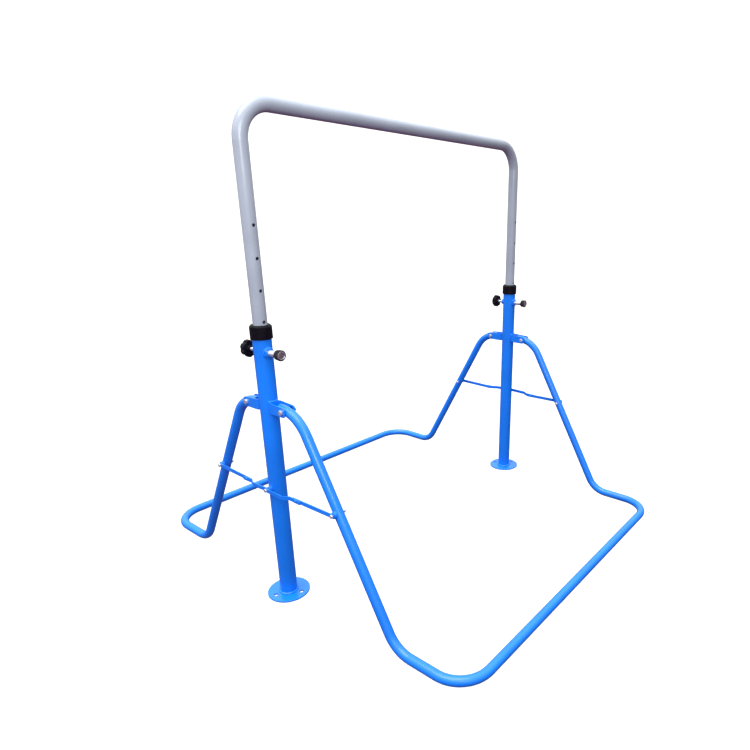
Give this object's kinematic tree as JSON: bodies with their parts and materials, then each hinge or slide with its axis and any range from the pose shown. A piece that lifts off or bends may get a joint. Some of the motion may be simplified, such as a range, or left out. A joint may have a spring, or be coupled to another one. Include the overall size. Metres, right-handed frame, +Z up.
{
  "type": "folding gymnastics kip bar",
  "caption": "Free-standing folding kip bar: a bent steel bar height-adjusts in round posts that stand between hinged, braced base frames.",
  "frame": {"origin": "on the floor, midway between the two posts", "axes": "+X along the bar, +Y toward the side of the clamp knobs, +Z up"},
  "size_m": [1.347, 1.4326, 1.396],
  "materials": {
    "blue_paint": "gloss powder coat",
    "grey_paint": "satin powder coat",
    "black_plastic": "moulded satin",
    "bright_zinc": "bright zinc plate",
    "bare_steel": "turned"
  },
  "bodies": {
    "posts": {"hinge_bolts": "bright_zinc", "hinge_nuts": "bright_zinc", "brace_centre_bolts": "bright_zinc", "left_post": "blue_paint", "left_base_flange": "blue_paint", "left_collar": "black_plastic", "left_brace_boss": "blue_paint", "left_pin_boss": "blue_paint", "left_clamp_nut": "blue_paint", "left_pin_barrel": "bright_zinc", "left_pin_spring": "bare_steel", "right_post": "blue_paint", "right_base_flange": "blue_paint", "right_collar": "black_plastic", "right_brace_boss": "blue_paint", "right_pin_boss": "blue_paint", "right_clamp_nut": "blue_paint", "right_pin_barrel": "bright_zinc", "right_pin_spring": "bare_steel", "left_front_hinge_bracket": "blue_paint", "left_back_hinge_bracket": "blue_paint", "right_front_hinge_bracket": "blue_paint", "right_back_hinge_bracket": "blue_paint"},
    "bar": {"bar": "grey_paint", "left_bar_guide": "black_plastic", "right_bar_guide": "black_plastic"},
    "front_frame": {"front_frame_tube": "blue_paint", "front_hinge_sleeves": "bare_steel", "front_hinge_washers": "black_plastic", "front_brace_lugs": "blue_paint", "front_lug_bolts": "bright_zinc"},
    "back_frame": {"back_frame_tube": "blue_paint", "back_hinge_sleeves": "bare_steel", "back_hinge_washers": "black_plastic", "back_brace_lugs": "blue_paint", "back_lug_bolts": "bright_zinc"},
    "left_pull_pin": {"left_pin": "bright_zinc", "left_pull_knob": "black_plastic", "left_pull_knob_cap": "bare_steel"},
    "left_clamp": {"left_clamp_knob": "black_plastic", "left_clamp_stud": "bright_zinc"},
    "right_pull_pin": {"right_pin": "bright_zinc", "right_pull_knob": "black_plastic", "right_pull_knob_cap": "bare_steel"},
    "right_clamp": {"right_clamp_knob": "black_plastic", "right_clamp_stud": "bright_zinc"},
    "left_front_inner": {"left_front_inner_link": "blue_paint", "left_front_elbow_rivet": "blue_paint"},
    "left_front_outer": {"left_front_outer_link": "blue_paint"},
    "left_back_inner": {"left_back_inner_link": "blue_paint", "left_back_elbow_rivet": "blue_paint"},
    "left_back_outer": {"left_back_outer_link": "blue_paint"},
    "right_front_inner": {"right_front_inner_link": "blue_paint", "right_front_elbow_rivet": "blue_paint"},
    "right_front_outer": {"right_front_outer_link": "blue_paint"},
    "right_back_inner": {"right_back_inner_link": "blue_paint", "right_back_elbow_rivet": "blue_paint"},
    "right_back_outer": {"right_back_outer_link": "blue_paint"}
  },
  "joints": [
    {"name": "bar_height_slide", "type": "slide", "parent": "posts", "child": "bar", "axis": [0, 0, 1], "range_m": [-0.326, 0.163]},
    {"name": "front_frame_fold", "type": "hinge", "parent": "posts", "child": "front_frame", "pos_m": [0, -0.08, 0.613], "axis": [1, 0, 0], "range_deg": [0, 30]},
    {"name": "left_front_inner_turn", "type": "hinge", "parent": "posts", "child": "left_front_inner", "pos_m": [-0.61, 0, 0.364], "axis": [1, 0, 0], "range_deg": [-48.21, 0]},
    {"name": "left_front_outer_turn", "type": "hinge", "parent": "front_frame", "child": "left_front_outer", "pos_m": [-0.61, -0.26684, 0.364], "axis": [1, 0, 0], "range_deg": [0, 46.9]},
    {"name": "right_front_inner_turn", "type": "hinge", "parent": "posts", "child": "right_front_inner", "pos_m": [0.61, 0, 0.364], "axis": [1, 0, 0], "range_deg": [-48.21, 0]},
    {"name": "right_front_outer_turn", "type": "hinge", "parent": "front_frame", "child": "right_front_outer", "pos_m": [0.61, -0.26684, 0.364], "axis": [1, 0, 0], "range_deg": [0, 46.9]},
    {"name": "back_frame_fold", "type": "hinge", "parent": "posts", "child": "back_frame", "pos_m": [0, 0.08, 0.613], "axis": [-1, 0, 0], "range_deg": [0, 30]},
    {"name": "left_back_inner_turn", "type": "hinge", "parent": "posts", "child": "left_back_inner", "pos_m": [-0.61, 0, 0.364], "axis": [-1, 0, 0], "range_deg": [-48.21, 0]},
    {"name": "left_back_outer_turn", "type": "hinge", "parent": "back_frame", "child": "left_back_outer", "pos_m": [-0.61, 0.26684, 0.364], "axis": [-1, 0, 0], "range_deg": [0, 46.9]},
    {"name": "right_back_inner_turn", "type": "hinge", "parent": "posts", "child": "right_back_inner", "pos_m": [0.61, 0, 0.364], "axis": [-1, 0, 0], "range_deg": [-48.21, 0]},
    {"name": "right_back_outer_turn", "type": "hinge", "parent": "back_frame", "child": "right_back_outer", "pos_m": [0.61, 0.26684, 0.364], "axis": [-1, 0, 0], "range_deg": [0, 46.9]},
    {"name": "left_pin_pull", "type": "slide", "parent": "posts", "child": "left_pull_pin", "axis": [0, -1, 0], "range_m": [-0.007, 0.0015]},
    {"name": "left_clamp_turn", "type": "hinge", "parent": "posts", "child": "left_clamp", "pos_m": [-0.61, 0.057, 0.767], "axis": [0, 1, 0], "continuous": true},
    {"name": "right_pin_pull", "type": "slide", "parent": "posts", "child": "right_pull_pin", "axis": [0, -1, 0], "range_m": [-0.007, 0.0015]},
    {"name": "right_clamp_turn", "type": "hinge", "parent": "posts", "child": "right_clamp", "pos_m": [0.61, 0.057, 0.767], "axis": [0, 1, 0], "continuous": true}
  ],
  "couplings": [
    {"joint": "left_front_inner_turn", "follows": "front_frame_fold", "ratio": -1.6053},
    {"joint": "left_front_outer_turn", "follows": "front_frame_fold", "ratio": 1.5615},
    {"joint": "right_front_inner_turn", "follows": "front_frame_fold", "ratio": -1.6053},
    {"joint": "right_front_outer_turn", "follows": "front_frame_fold", "ratio": 1.5615},
    {"joint": "left_back_inner_turn", "follows": "back_frame_fold", "ratio": -1.6053},
    {"joint": "left_back_outer_turn", "follows": "back_frame_fold", "ratio": 1.5615},
    {"joint": "right_back_inner_turn", "follows": "back_frame_fold", "ratio": -1.6053},
    {"joint": "right_back_outer_turn", "follows": "back_frame_fold", "ratio": 1.5615}
  ]
}
